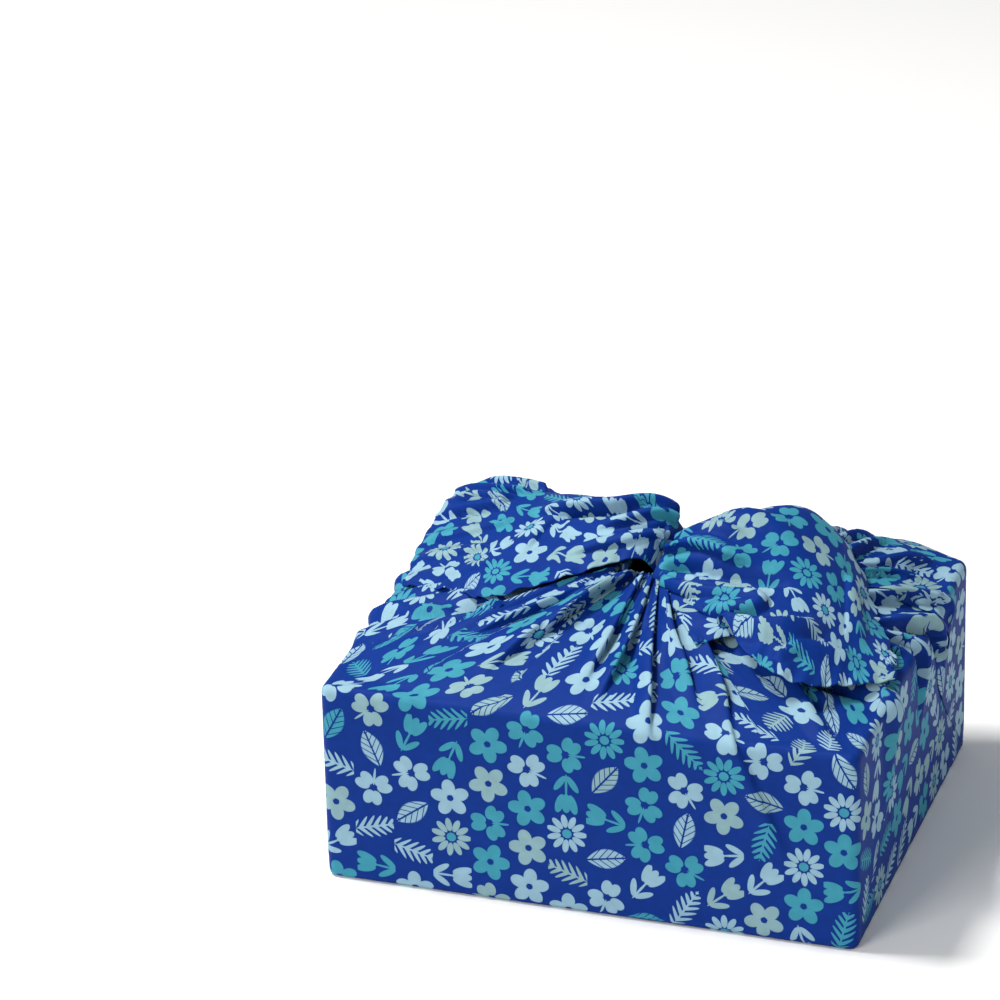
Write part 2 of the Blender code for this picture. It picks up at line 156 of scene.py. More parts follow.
# Pleats and folds of the wrap, walking outwards from the knot on the lid laid flat, on which the
# sides are folded up level with it. left and right are the half widths on either hand, so the
# narrow one is the steep side, and over is how far the crest leans past its steep foot.
WRAP_FOLDS = [
    # path, left, right, rise, over (mm)
    (((-12, -9), (-22, -15), (-41, -27), (-55, -36), (-67, -46), (-88, -62), (-121, -90)),
     8, 3.5, 5.5, 1.0),
    (((-13, -12), (-44, -36), (-84, -68)), 3, 5, 4.5, 2.5),
    (((-13, -12), (-35, -42), (-46, -60)), 3, 6, 6.0, 3.5),
    (((-12, -14), (-41, -52), (-64, -92)), 4, 9, 6.5, 4.0),
    (((-9, -10), (-22, -28), (-33, -44)), 2.5, 4, 5.5, 3.0),
    (((-6, -8), (-28, -34), (-48, -72)), 3, 8, 9.0, 6.0),
    (((-3, -10), (-6, -42), (-10, -92)), 3, 7, 8.5, 5.5),
    (((0, -10), (-1, -34), (-4, -62)), 2, 4, 6.0, 2.5),
    (((2, -10), (4, -48), (1, -106)), 2.5, 6, 8.0, 4.5),
    (((4, -10), (8, -34), (11, -60)), 2.5, 4, 6.0, 3.0),
    (((5, -10), (18, -70), (36, -128)), 3, 6, 6.5, 4.0),
    (((7, -10), (17, -42), (30, -76)), 2.5, 4, 5.5, 3.0),
    (((8, -10), (24, -52), (56, -100)), 3, 7, 7.5, 5.0),
    (((10, -12), (34, -50), (60, -88)), 2.5, 4, 4.5, 2.5),
    (((12, -14), (48, -66), (76, -112)), 3, 9, 7.0, 5.0),
    (((66, -92), (84, -132), (111, -190)), 2.5, 10, 2.5, 1.5),
    (((14, -12), (68, -48), (134, -114)), 5, 6, 8.0, 3.0),
    (((26, -22), (70, -54), (112, -86)), 3, 4, 4.0, 2.5),
    (((20, -4), (82, -38), (127, -50), (141, -54), (158, -58), (190, -65)), 4, 8, 3.5, 2.5),
    (((20, -1), (90, -10), (120, -4), (133, 0), (148, -6)), 5, 3.5, 4.5, 2.5),
    (((20, 3), (80, -2), (114, 2), (129, 10), (139, 12), (152, 16), (168, 18), (190, 20)),
     6, 3.5, 6.0, 3.0),
    (((20, 6), (104, 7), (134, 24)), 4, 3, 4.0, 2.0),
    (((20, 9), (76, 5), (112, 12), (127, 26), (139, 38), (152, 48), (168, 57), (192, 62)),
     8, 3.5, 7.0, 4.0),
    (((20, 13), (70, 18), (106, 34), (120, 49), (136, 62), (152, 68), (172, 72)), 9, 3.5, 6.5, 3.5),
    (((18, 17), (80, 40), (106, 68), (120, 76), (140, 80)), 3.5, 3, 5.0, 2.0),
    (((18, 18), (78, 47), (100, 74), (118, 92), (132, 100)), 3.5, 3, 5.0, 2.0),
    (((17, 19), (74, 54), (90, 81), (104, 110)), 3.5, 3, 5.0, 2.0),
    (((16, 20), (68, 60), (82, 88), (92, 112)), 3.5, 3, 5.0, 2.0),
    (((15, 21), (61, 66), (72, 94), (80, 114)), 3.5, 3, 5.0, 2.0),
    (((12, 22), (54, 74), (62, 98), (68, 116)), 5, 5, 5.0, 2.5),
    (((8, 22), (44, 80), (66, 122)), 7, 4, 6.0, 3.5),
    (((4, 22), (22, 78), (34, 118)), 7, 4, 6.0, 3.5),
    (((0, 22), (2, 80), (6, 124)), 7, 4, 5.5, 3.5),
    (((-6, 22), (-26, 78), (-34, 118)), 7, 4, 6.0, 3.5),
    (((-10, 22), (-56, 82), (-80, 120)), 7, 4, 5.5, 3.5),
    (((-14, 20), (-72, 76), (-108, 112)), 7, 4, 5.0, 2.5),
    (((-16, 18), (-88, 66), (-136, 92)), 7, 4, 5.5, 3.5),
    (((-18, 12), (-96, 36), (-160, 50)), 7, 4, 5.5, 3.5),
    (((-20, 4), (-100, 8), (-170, 12)), 7, 4, 5.5, 3.5),
    (((-19, 0), (-98, -12), (-150, -12)), 5, 3, 4.5, 2.5),
    (((-18, -2), (-98, -28), (-168, -30)), 7, 4, 5.5, 3.0),
]
# Broad swells under the pleats, where the folded-in corners of the square bulk them out, creases
# that start away from the knot, and hollows below the ears and beside the flaps
WRAP_SWELLS = [
    (((30, 36), (84, 92), (142, 119)), 26, 24, 9.5, 0.0),
    (((30, 10), (90, 40), (140, 60)), 26, 26, 3.0, 0.0),
    (((-30, 30), (-84, 76), (-128, 108)), 24, 24, 3.0, 0.0),
    (((-66, -40), (-77, -43), (-99, -42), (-123, -37), (-150, -30)), 3, 6, 4.5, 0.0),
    (((-62, -44), (-81, -49), (-101, -54), (-120, -59), (-146, -64)), 3.5, 6, 4.0, 0.0),
    (((-12, -2), (-36, -13), (-55, -24), (-68, -34), (-84, -41), (-106, -46)), 8, 9, -14.0, 0.0),
    (((56, -36), (86, -51), (108, -56), (136, -54)), 9, 6, -10.0, 0.0),
    (((62, -50), (86, -63), (106, -69), (128, -66)), 5, 6, 3.5, 0.0),
    (((96, -31), (128, -39), (142, -43), (166, -46), (190, -49), (216, -54)), 8, 7, -3.6, 0.0),
    (((126, 2), (140, 5), (152, 10), (170, 12), (194, 14)), 4, 4, -3.0, 0.0),
    (((126, 17), (140, 30), (152, 41), (170, 50), (198, 55)), 4, 4, -3.4, 0.0),
]
FOLD_STEPS = 5
FADE_IN = 0.06
FADE_OUT = 0.35
KNOT_END_WIDTH = 0.5
FULL_WIDTH_FROM = 0.5
STEEP_SIDE, GENTLE_SIDE, VALLEY = 0.6, 1.3, 1.4

# Small gathers between the pleats: how many go round, how high they stand, and where they start.
# They are full near the knot, run out towards the lid's edge and wander a little.
GATHERS = ((47, 1.1 * MM, 0.4), (83, 0.6 * MM, 1.9), (29, 0.9 * MM, 4.1))
GATHERS_FULL_TO, GATHERS_RUN_OUT = 0.15, 0.65
GATHER_WANDER = 0.35
WANDERS_OUTWARDS, WANDERS_ROUND = 9, 5


def ease(t):
    """Run smoothly from 0 to 1."""
    t = np.clip(t, 0, 1)
    return t * t * (3 - 2 * t)


def curve_through(points, steps):
    """Evenly spread points on a smooth curve through the given ones, along the first axis."""
    points = np.asarray(points, float)
    spans = len(points) - 1
    ends = np.concatenate([[2 * points[0] - points[1]], points, [2 * points[-1] - points[-2]]])
    at = np.linspace(0, spans, steps + 1)
    span = np.minimum(at.astype(int), spans - 1)
    t = (at - span).reshape((-1,) + (1,) * (points.ndim - 1))
    a, b, c, d = (ends[span + n] for n in range(4))
    square = 2 * a - 5 * b + 4 * c - d
    cube = 3 * b - a - 3 * c + d
    return (2 * b + (c - a) * t + square * t**2 + cube * t**3) / 2


def fold_shape(flat, folds):
    """The folds at points laid flat: height off the cloth, how far and where each point leans,
    which fold is nearest and how near."""
    height = np.zeros(len(flat))
    depth = np.zeros(len(flat))
    lean = np.zeros((len(flat), 2))
    nearest = np.zeros(len(flat), int)
    closest = np.full(len(flat), np.inf)
    for number, (path, left, right, rise, over) in enumerate(folds):
        line = curve_through(np.array(path) * MM, FOLD_STEPS * (len(path) - 1))
        best = np.full(len(flat), np.inf)
        hand = np.zeros(len(flat))
        along = np.zeros(len(flat))
        side = np.zeros((len(flat), 2))
        for step, (a, b) in enumerate(zip(line, line[1:])):
            run = b - a
            off = flat - a
            share = np.clip(off @ run / (run @ run), 0, 1)
            gap = np.hypot(*(off - share[:, None] * run).T)
            closer = gap < best
            best[closer] = gap[closer]
            hand[closer] = (run[0] * off[:, 1] - run[1] * off[:, 0])[closer]
            along[closer] = ((step + share) / (len(line) - 1))[closer]
            side[closer] = np.array((-run[1], run[0])) / np.hypot(*run)
        width = KNOT_END_WIDTH + (1 - KNOT_END_WIDTH) * ease(along / FULL_WIDTH_FROM)
        half = np.where(hand > 0, left, right) * MM * width
        gap = best / half
        steep = 1 if left < right else -1
        sharpness = np.where((hand > 0) == (left < right), STEEP_SIDE, GENTLE_SIDE)
        round_top = np.clip(1 - gap**2, 0, None) ** sharpness
        profile = round_top if rise > 0 else np.clip(1 - gap, 0, None) ** VALLEY
        fade = ease(along / FADE_IN) * ease((1 - along) / FADE_OUT)
        stands = rise * MM * fade * profile
        higher = stands > height
        height[higher] = stands[higher]
        lean[higher] = (side * (steep * over * MM * fade * profile)[:, None])[higher]
        depth = np.minimum(depth, stands)
        closer = gap < closest
        closest[closer] = gap[closer]
        nearest[closer] = number
    return height + depth, lean, nearest, closest


def walk_round(s):
    """Points of the box's outline at distances walked round it, and the way each faces."""
    s = np.mod(s, LAP)
    point = np.zeros(s.shape + (2,))
    facing = np.zeros(s.shape + (2,))
    for quarter, start in enumerate((0, RIGHT_START, BACK_START, LEFT_START)):
        out, run = ((HALF_Y, FRONT_RUN), (HALF_X, SIDE_RUN))[quarter % 2]
        turn = quarter * math.pi / 2
        face = np.array((math.sin(turn), -math.cos(turn)))
        along = np.array((math.cos(turn), math.sin(turn)))
        t = s - start
        straight = (t >= 0) & (t <= run)
        point[straight] = (face * out + along * (t[..., None] - run / 2))[straight]
        facing[straight] = face
        bend = (t > run) & (t < run + BEND)
        angle = turn + (t - run) / CORNER
        round_it = np.stack((np.sin(angle), -np.cos(angle)), -1)
        hub = face * (out - CORNER) + along * run / 2
        point[bend] = (hub + CORNER * round_it)[bend]
        facing[bend] = round_it[bend]
    return point, facing


def share_of_lid(x, y):
    """0 over the neck and 1 at the lid's edge, on each side measured from the neck."""
    across = np.abs(x - NECK[0]) / (HALF_X - EDGE_INSET + np.where(x > NECK[0], -NECK[0], NECK[0]))
    deep = np.abs(y - NECK[1]) / (HALF_Y - EDGE_INSET + np.where(y > NECK[1], -NECK[1], NECK[1]))
    return across, deep


def tent(x, y):
    """Height of the cloth over the lid, without its pleats."""
    across, deep = share_of_lid(x, y)
    out = (across**TENT_SQUARENESS + deep**TENT_SQUARENESS) ** (1 / TENT_SQUARENESS)
    inward = np.clip(1 - out, 0, None)
    return TENT_FOOT + TENT_RISE * ((inward + TENT_START) ** TENT_POWER - TENT_START**TENT_POWER)


# Columns of the wrap, each with where it starts on the outline, how it follows a flap's depth,
# and its layer
columns = []


def lay_columns(start, end, spacing, layer):
    """Columns that run straight up the box."""
    for s in np.linspace(start, end, max(2, round((end - start) / spacing)), endpoint=False):
        columns.append((s, 0, 0, layer, 0, 0))


def lay_flap(name, outwards):
    """Columns of a flap at a corner: its outer layer, the fold at its edge and its return."""
    start, hand, depth, full = CORNER_FLAPS[name]
    steps = round(depth / FLAP_SPACING)
    outer = [(start, hand, t, OUTER, depth, full) for t in np.linspace(0, 1, steps + 1)]
    edge = [(start, hand, 1 + FLAP_BULGE * bulge, layer, depth, full) for bulge, layer in FLAP_EDGE]
    back = [(start, hand, t, RETURN, depth, full) for t in np.linspace(1, FLAP_ROOT, steps // 2)]
    made = outer + edge + back
    columns.extend(made if outwards else made[::-1])


lay_columns(0, FRONT_END, FRONT_SPACING, OUTER)
lay_columns(FRONT_END, RIGHT_START, FRONT_SPACING, OUTER)
lay_flap("front right", True)
lay_columns(RIGHT_START, RIGHT_END, RIGHT_SPACING, OWN)
lay_flap("back right", False)
lay_columns(RIGHT_END, BACK_START, FRONT_SPACING, OUTER)
lay_columns(BACK_START, BACK_END, BACK_SPACING, OUTER)
lay_columns(BACK_END, LEFT_START, FRONT_SPACING, OUTER)
lay_flap("back left", True)
lay_columns(LEFT_START, LEFT_END, LEFT_SPACING, OWN)
lay_flap("front left", False)
lay_columns(LEFT_END, LAP, FRONT_SPACING, OUTER)
anchor, hand, reach, layer, lid_depth, flap_full = (np.array(column) for column in zip(*columns))

# Rows of the wrap, from the neck outwards and down, as (share of the lid, turn of the surface,
# height of the wall, share of the underside)
WALL_TOP = LID - TOP_EDGE
UPRIGHT, UNDERNEATH = math.pi / 2, math.pi
rows = [(share, 0, LID, 1) for share in np.linspace(NECK_SHARE, 1, LID_ROWS)]
rows += [(1, turn, WALL_TOP, 1) for turn in np.linspace(EDGE_SLOPE, UPRIGHT, EDGE_TURNS + 1)[1:]]
rows += [(1, UPRIGHT, z, 1) for z in np.linspace(WALL_TOP, FOOT_EDGE, WALL_ROWS + 1)[1:]]
rows += [(1, turn, FOOT_EDGE, 1) for turn in np.linspace(UPRIGHT, UNDERNEATH, FOOT_TURNS + 1)[1:]]
rows += [(1, UNDERNEATH, FOOT_EDGE, share) for share in UNDER_SHARES]
lid_share, turn, wall_z, under_share = (np.array(row)[:, None] for row in zip(*rows))

# Height above the underside sets how deep a flap is: there is as much spare cloth at a corner as
# the cloth is high there
rise_to = np.where(turn <= UPRIGHT, np.where(turn < UPRIGHT, WALL_TOP, wall_z), 0)
spare = np.clip(rise_to - FOOT_EDGE, 0, None)
NEXT_TO_NOTHING = 1e-9
spare_part = np.where(spare > 0, spare, NEXT_TO_NOTHING) ** -FLAP_SHARPNESS
lid_part = np.where(lid_depth > 0, lid_depth, 1) ** -FLAP_SHARPNESS
flap_depth = np.where(spare > 0, (spare_part + lid_part) ** (-1 / FLAP_SHARPNESS), 0)
walked = anchor + hand * reach * flap_depth
outline, facing = walk_round(walked)

# Base surface and the way it faces
on_lid = (turn == 0) & np.ones_like(walked, bool)
on_foot = (turn > UPRIGHT) & np.ones_like(walked, bool)
knot_at = np.array(NECK)
inset = outline - facing * EDGE_INSET
plan = knot_at + (inset - knot_at) * lid_share[..., None]
plan_x, plan_y = plan[..., 0], plan[..., 1]
lid_z = tent(plan_x, plan_y)
SLOPE_STEP = 0.5 * MM
slope_x = (tent(plan_x + SLOPE_STEP, plan_y) - tent(plan_x - SLOPE_STEP, plan_y)) / (2 * SLOPE_STEP)
slope_y = (tent(plan_x, plan_y + SLOPE_STEP) - tent(plan_x, plan_y - SLOPE_STEP)) / (2 * SLOPE_STEP)
lid_normal = np.stack((-slope_x, -slope_y, np.ones_like(slope_x)), -1)
lid_normal /= np.linalg.norm(lid_normal, axis=-1, keepdims=True)
each = np.ones_like(facing[..., :1])
sin_turn, cos_turn = np.sin(turn)[..., None], np.cos(turn)[..., None]
edge_normal = np.concatenate((facing * sin_turn, cos_turn * each), -1)
normal = np.where(on_lid[..., None], lid_normal, edge_normal)

radius = np.where(on_foot, FOOT_EDGE, TOP_EDGE)
hub_z = np.where(on_foot, FOOT_EDGE, np.where(turn < UPRIGHT, WALL_TOP, wall_z))
hub = np.concatenate((outline - facing * radius[..., None], hub_z[..., None]), -1)
base = hub + edge_normal * radius[..., None]
base[..., :2] *= under_share[..., None]
base = np.where(on_lid[..., None], np.concatenate((plan, lid_z[..., None]), -1), base)

# Folds, worked out where the cloth lies when the sides are folded up level with the lid
FREE_ABOVE_FOOT = 14 * MM
drop = np.where(turn < UPRIGHT, TOP_EDGE * (np.sin(turn) - np.cos(turn)), LID - wall_z)
down_the_side = outline + facing * np.where(on_foot, LID, drop)[..., None]
laid_flat = np.where(on_lid[..., None], plan, down_the_side).reshape(-1, 2)
height, lean, pleat, pleat_gap = (
    a.reshape(walked.shape + a.shape[1:]) for a in fold_shape(laid_flat, WRAP_FOLDS))
height = height + fold_shape(laid_flat, WRAP_SWELLS)[0].reshape(walked.shape)
free_of_foot = np.where(on_foot, 0, ease((hub_z - FOOT_EDGE) / FREE_ABOVE_FOOT))
near_knot = np.where(on_lid, 1 - ease((lid_share - GATHERS_FULL_TO) / GATHERS_RUN_OUT), 0)
for count, tall, phase in GATHERS:
    wandering = WANDERS_OUTWARDS * lid_share + phase + WANDERS_ROUND * walked / LAP
    wander = GATHER_WANDER * np.sin(wandering)
    wave = np.abs(np.sin(math.pi * count * walked / LAP + phase + wander))
    height = height + tall * near_knot * wave
side_way = np.stack((-facing[..., 1], facing[..., 0]), -1)
sideways = (lean * side_way).sum(-1)
outwards = (lean * facing).sum(-1)
fall = np.concatenate((facing * cos_turn, -sin_turn * each), -1)
shift = fall * outwards[..., None]
shift[..., :2] += side_way * sideways[..., None]

# Layers stand a little off each other, and a flap is fullest at its edge
near_edge = ease((reach * flap_depth - (flap_depth - FLAP_PUFF_WIDTH)) / FLAP_PUFF_WIDTH)
high_up = ease((np.where(on_foot, 0, hub_z) - FLAP_PUFF_FROM * LID) / (FLAP_PUFF_RISE * LID))
puff = flap_full * near_edge * high_up
off_box = layer * (LAYER_STEP + np.where(hand != 0, puff / 2, 0))
off_base = normal * (height + off_box)[..., None] + shift
wrap_points = base + off_base * free_of_foot[..., None]

# Where each point is on the flat square, in metres. Over the lid the print keeps its width along
# every pleat, and what is missing between two pleats is folded away.
WALK_SAMPLES = 2000
NEARLY_ON_LID = 1.02
FLAT_AGAIN_BY = 0.2


def nearest_way_round(distance):
    """A distance round the outline, forwards or backwards, whichever is shorter."""
    return np.mod(distance + LAP / 2, LAP) - LAP / 2


walk_samples = np.linspace(0, LAP, WALK_SAMPLES, endpoint=False)
sample_points, _ = walk_round(walk_samples)
pleat_at, pleat_length = [], []
for path, *_ in WRAP_FOLDS:
    stations = [np.array(point) * MM for point in path]
    inner = [point for point in stations if max(*share_of_lid(*point)) <= NEARLY_ON_LID][-1]
    edge_point = knot_at + (inner - knot_at) / max(*share_of_lid(*inner))
    pleat_at.append(walk_samples[np.argmin(np.hypot(*(sample_points - edge_point).T))])
    pleat_length.append(np.hypot(*(edge_point - knot_at)))
pleat_at, pleat_length = np.array(pleat_at)[pleat], np.array(pleat_length)[pleat]
from_pleat = nearest_way_round(walked - pleat_at)
printed_at = walked.copy()
for r in range(LID_ROWS):
    cloth_steps = np.linalg.norm(np.diff(wrap_points[r], axis=0), axis=1)
    cloth_run = np.concatenate(([0], np.cumsum(cloth_steps)))
    forwards = np.sign(np.append(np.diff(walked[r]), 1))
    wrinkled = ease((1 - lid_share[r]) / FLAT_AGAIN_BY)
    stretches = np.flatnonzero(np.diff(pleat[r]) | (np.diff(forwards) != 0)) + 1
    for part in np.split(np.arange(len(cloth_run)), stretches):
        crest = part[np.argmin(pleat_gap[r, part])]
        from_crest = forwards[part] * (cloth_run[part] - cloth_run[crest])
        true = pleat_at[r, part] + from_pleat[r, crest] * lid_share[r] + from_crest
        printed_at[r, part] += wrinkled * nearest_way_round(true - walked[r, part])
printed_at = np.mod(printed_at + SIDE_RUN / 2, LAP) - SIDE_RUN / 2
wall_up = np.where(turn < UPRIGHT, WALL_TOP + TOP_EDGE * (UPRIGHT - turn), wall_z)
lid_up = WALL_TOP + TOP_EDGE * (UPRIGHT - EDGE_SLOPE) + (1 - lid_share) * pleat_length
up = np.where(on_lid, lid_up, np.where(on_foot, 0, wall_up))
up = up - np.where(on_foot, (1 - under_share) * HALF_Y, 0)

front_of = nearest_way_round(printed_at - FRONT_RUN / 2)
back_of = nearest_way_round(printed_at - (BACK_START + BACK_END) / 2)
right_of = printed_at - (RIGHT_START + RIGHT_END) / 2
left_of = nearest_way_round(printed_at - (LEFT_START + LEFT_END) / 2)
of_front = (layer > OWN) & (np.abs(nearest_way_round(anchor - FRONT_RUN / 2)) < LAP / 4)
of_back = (layer > OWN) & ~of_front
of_right = (layer == OWN) & (anchor < BACK_START)
u = np.select([of_front, of_back, of_right], [front_of, -back_of, HALF_X + up], -(HALF_X + up))
v = np.select([of_front, of_back, of_right], [-(HALF_Y + up), HALF_Y + up, right_of], -left_of)
wrap_print = np.stack((u, v), -1)

# The tails of the knot
# Two corners of the square come out of the knot as broad ears with hemmed edges and lie over the
# tent. The left one passes over the right one in the knot. A third corner peeps out in front.

LEFT_EAR = [
    # hem, belly, crest, back (mm)
    ((4, -2, 141), (8, 6, 143), (14, 24, 147), (10, 36, 142)),
    ((-4, -6, 149), (0, 4, 157), (1, 27, 160.5), (-3, 43, 149)),
    ((-22, -16, 147), (-22, 4, 155), (-30, 37, 157), (-26, 56, 142)),
    ((-45, -29, 141.5), (-46, 8, 149), (-50, 46, 154), (-44, 72, 132)),
    ((-76, -38, 133), (-74, 8, 141), (-76, 64, 143), (-68, 88, 125)),
    ((-100, -20, 125), (-102, 30, 131), (-104, 80, 136), (-92, 102, 120.5)),
    ((-133, -4, 115), (-138, 48, 118), (-131, 90, 128), (-112, 107, 114)),
]
RIGHT_EAR = [
    # hem, belly, crest, back (mm)
    ((2, -12, 136), (5, -5, 144), (7, 12, 150), (6, 28, 145)),
    ((27, -31, 139), (26, -19, 147), (28, 13, 162), (24, 36, 148)),
    ((50, -48, 139), (50, -24, 148), (46, 26, 166), (42, 54, 142)),
    ((72, -70, 137.5), (72, -28, 148.5), (68, 44, 162), (60, 70, 140)),
    ((88, -82, 135.5), (90, -32, 145), (88, 42, 148), (84, 66, 136)),
    ((106, -79, 129), (106, -38, 136), (102, 26, 136), (104, 44, 125)),
    ((121, -63, 123), (118, -40, 129), (114, -2, 128), (119, 10, 122)),
    ((142, -46, 119.5), (140, -42, 121.5), (137, -35, 121.5), (139, -28, 119.5)),
]
THIRD_TAIL = [
    # left edge, middle, right edge (mm)
    ((8, -18, 138), (14, -20, 142), (20, -22, 142)),
    ((20, -32, 139), (28, -34, 142), (36, -34, 142)),
    ((32, -46, 136), (42, -46, 139), (52, -42, 140)),
    ((42, -60, 133), (48, -57, 135), (60, -50, 137)),
]
LEFT_EAR_FOLDS = [
    # path, left, right, rise, over (mm)
    (((5, 36), (-14, 33), (-32, 30), (-58, 34), (-78, 44)), 3.5, 8, 6.5, 3.5),
    (((6, 30), (-12, 27), (-30, 24), (-54, 28), (-72, 36)), 4, 4, -8.5, 0.0),
    (((8, 25), (-6, 19), (-18, 14), (-38, 12)), 4, 6, 6.0, 3.0),
    (((6, 16), (-6, 9), (-20, 4)), 3.5, 3.5, -4.5, 0.0),
    (((6, 9), (-8, 2), (-26, -3), (-50, -8)), 4, 6, 4.5, 2.0),
    (((-52, 30), (-64, 20), (-72, -12)), 5, 12, 3.4, 1.5),
    (((-80, -6), (-112, 0), (-146, 4)), 6, 8, 2.2, 1.0),
    (((-88, 14), (-116, 20), (-146, 22)), 5, 8, 2.8, 1.5),
    (((-84, 34), (-116, 40), (-146, 43)), 5, 8, 3.2, 1.8),
    (((-94, 58), (-118, 64), (-146, 68)), 4, 7, 3.6, 1.8),
    (((-84, 66), (-108, 77), (-140, 90)), 3.5, 5, 5.0, 3.0),
    (((-78, 76), (-100, 87), (-134, 102)), 3, 4.5, 5.0, 3.0),
    (((-74, 87), (-96, 96), (-124, 108)), 3, 4, 4.5, 2.5),
    (((-92, 60), (-106, 66), (-120, 72), (-136, 76)), 3, 7, 7.0, 4.0),
    (((-96, 52), (-108, 56), (-122, 60), (-140, 62)), 4, 4, -4.0, 0.0),
]
RIGHT_EAR_FOLDS = [
    # path, left, right, rise, over (mm)
    (((8, -12), (28, -25), (50, -30), (64, -32), (69, -35.5), (64, -39), (50, -39), (28, -33),
      (14, -21)), 5, 9, 6.5, 0.0),
    (((18, -29), (40, -44), (62, -48), (86, -43)), 4, 4, -6.0, 0.0),
    (((10, -19), (36, -43), (62, -54), (82, -56), (95, -45), (97, -26)), 3.5, 8, 8.5, 3.5),
    (((8, -5), (26, -12), (47, -16), (70, -17), (92, -11)), 7, 6, -8.0, 0.0),
    (((8, 4), (24, 2), (44, -4), (66, -6)), 6, 4, 6.5, 3.0),
    (((10, 10), (30, 10), (52, 6)), 4, 5, 3.5, 1.5),
    (((10, 18), (34, 24), (60, 22), (84, 14)), 8, 8, 3.0, 0.0),
    (((100, 22), (112, -8), (118, -36)), 6, 6, 3.0, 1.0),
    (((88, -74), (96, -60), (112, -50), (128, -44)), 5, 7, 3.0, 1.5),
]
EAR_GRID = (165, 96)
THIRD_TAIL_GRID = (44, 30)
HEM_RADIUS = 0.45 * MM
HEM_WIDTH = 4 * MM
HEM_DROOP = 0.2 * MM
HEM_TURNS = 4
SHORTEST_ARROW = 1e-12

# The edges of a tail ruffle a little, ever more along the first part of it
RUFFLE = 0.6 * MM
RUFFLE_LENGTHS = (19 * MM, 11.3 * MM)
RUFFLE_REACH = 9 * MM
RUFFLE_FULL_BY = 60 * MM

# Where on the flat square each tail's print starts (m), and which way the tail runs (degrees)
LEFT_EAR_PRINT = ((0.31, 0.05), 200)
RIGHT_EAR_PRINT = ((0.02, 0.33), 62)
THIRD_TAIL_PRINT = ((0.2, -0.31), -50)


def pointing(arrows):
    """The same arrows, each 1 long."""
    return arrows / np.maximum(np.linalg.norm(arrows, axis=-1, keepdims=True), SHORTEST_ARROW)


def grid_normals(grid):
    """The way each point of a grid of cloth faces."""
    return pointing(np.cross(np.gradient(grid, axis=0), np.gradient(grid, axis=1)))


def lengths_along(grid, axis):
    """Distance of each point from the grid's start, along one axis."""
    steps = np.linalg.norm(np.diff(grid, axis=axis), axis=-1)
    mean = steps.mean(axis=1 - axis)
    run = np.concatenate(([0], np.cumsum(mean)))
    return np.broadcast_to(run[:, None] if axis == 0 else run[None, :], grid.shape[:2])


def turn_hem(grid, facing, printed, axis, at_end):
    """Add a hem at one edge of a grid: the cloth rolled under and laid back below itself."""
    take = (lambda a, i: a[i]) if axis == 0 else (lambda a, i: a[:, i])
    last, before = (-1, -2) if at_end else (0, 1)
    edge, flat_edge, up = take(grid, last), take(printed, last), take(facing, last)
    out = pointing(edge - take(grid, before))
    flat_out = pointing(flat_edge - take(printed, before))
    strips, flats, ways = [], [], []
    for n in range(1, HEM_TURNS + 1):
        angle = math.pi * n / HEM_TURNS
        outwards, under = HEM_RADIUS * math.sin(angle), HEM_RADIUS * (1 - math.cos(angle))
        strips.append(edge + out * outwards - up * under)
        flats.append(flat_edge + flat_out * (HEM_RADIUS * angle))
        ways.append(up)
    for share in (0.5, 1):
        strips.append(edge - out * (HEM_WIDTH * share) - up * (2 * HEM_RADIUS + HEM_DROOP * share))
        flats.append(flat_edge + flat_out * (HEM_WIDTH * share))
        ways.append(up)
    if not at_end:
        strips, flats, ways = strips[::-1], flats[::-1], ways[::-1]
    join = [np.stack(a, axis) for a in (strips, flats, ways)]
    order = (lambda a, b: (a, b)) if at_end else (lambda a, b: (b, a))
    return tuple(np.concatenate(order(a, b), axis) for a, b in zip((grid, printed, facing), join))


def make_tail(sections, folds, grid_size, print_start):
    """A tail of the cloth as a grid of points from the knot outwards, with where each point is on
    the flat square."""
    along, across = grid_size
    lines = np.array([curve_through(np.array(section) * MM, across) for section in sections])
    grid = curve_through(lines, along)
    away, over = lengths_along(grid, 0), lengths_along(grid, 1)
    height, lean, *_ = fold_shape(grid[..., :2].reshape(-1, 2), folds)
    up = grid_normals(grid)
    up *= np.sign(up[..., 2:].mean())
    lean = lean.reshape(grid.shape[:2] + (2,))
    lean = np.concatenate((lean, np.zeros_like(lean[..., :1])), -1)
    lean -= up * (lean * up).sum(-1, keepdims=True)
    to_hem = np.minimum(over, over[:, -1:] - over)
    to_end = away[-1:] - away
    ruffle = 0
    for length in RUFFLE_LENGTHS:
        side = np.sin(2 * math.pi * away / length) * np.exp(-to_hem / RUFFLE_REACH)
        end = np.sin(2 * math.pi * over / length + 1) * np.exp(-to_end / RUFFLE_REACH)
        ruffle = ruffle + (side + end) * ease(away / RUFFLE_FULL_BY)
    height = height.reshape(grid.shape[:2]) + RUFFLE * ruffle
    grid = grid + up * height[..., None] + lean
    (start_u, start_v), printed_turn = print_start
    cos, sin = math.cos(math.radians(printed_turn)), math.sin(math.radians(printed_turn))
    steps = np.linalg.norm(np.diff(grid, axis=1), axis=-1)
    over = np.concatenate((np.zeros((len(grid), 1)), np.cumsum(steps, axis=1)), 1)
    over = over - over[:, across // 2:across // 2 + 1]
    u, v = start_u + cos * away - sin * over, start_v + sin * away + cos * over
    printed = np.stack((u, v), -1)
    up = grid_normals(grid)
    up *= np.sign(up[..., 2:].mean())
    grid, printed, up = turn_hem(grid, up, printed, 1, False)
    grid, printed, up = turn_hem(grid, up, printed, 1, True)
    grid, printed, up = turn_hem(grid, up, printed, 0, True)
    return grid, printed


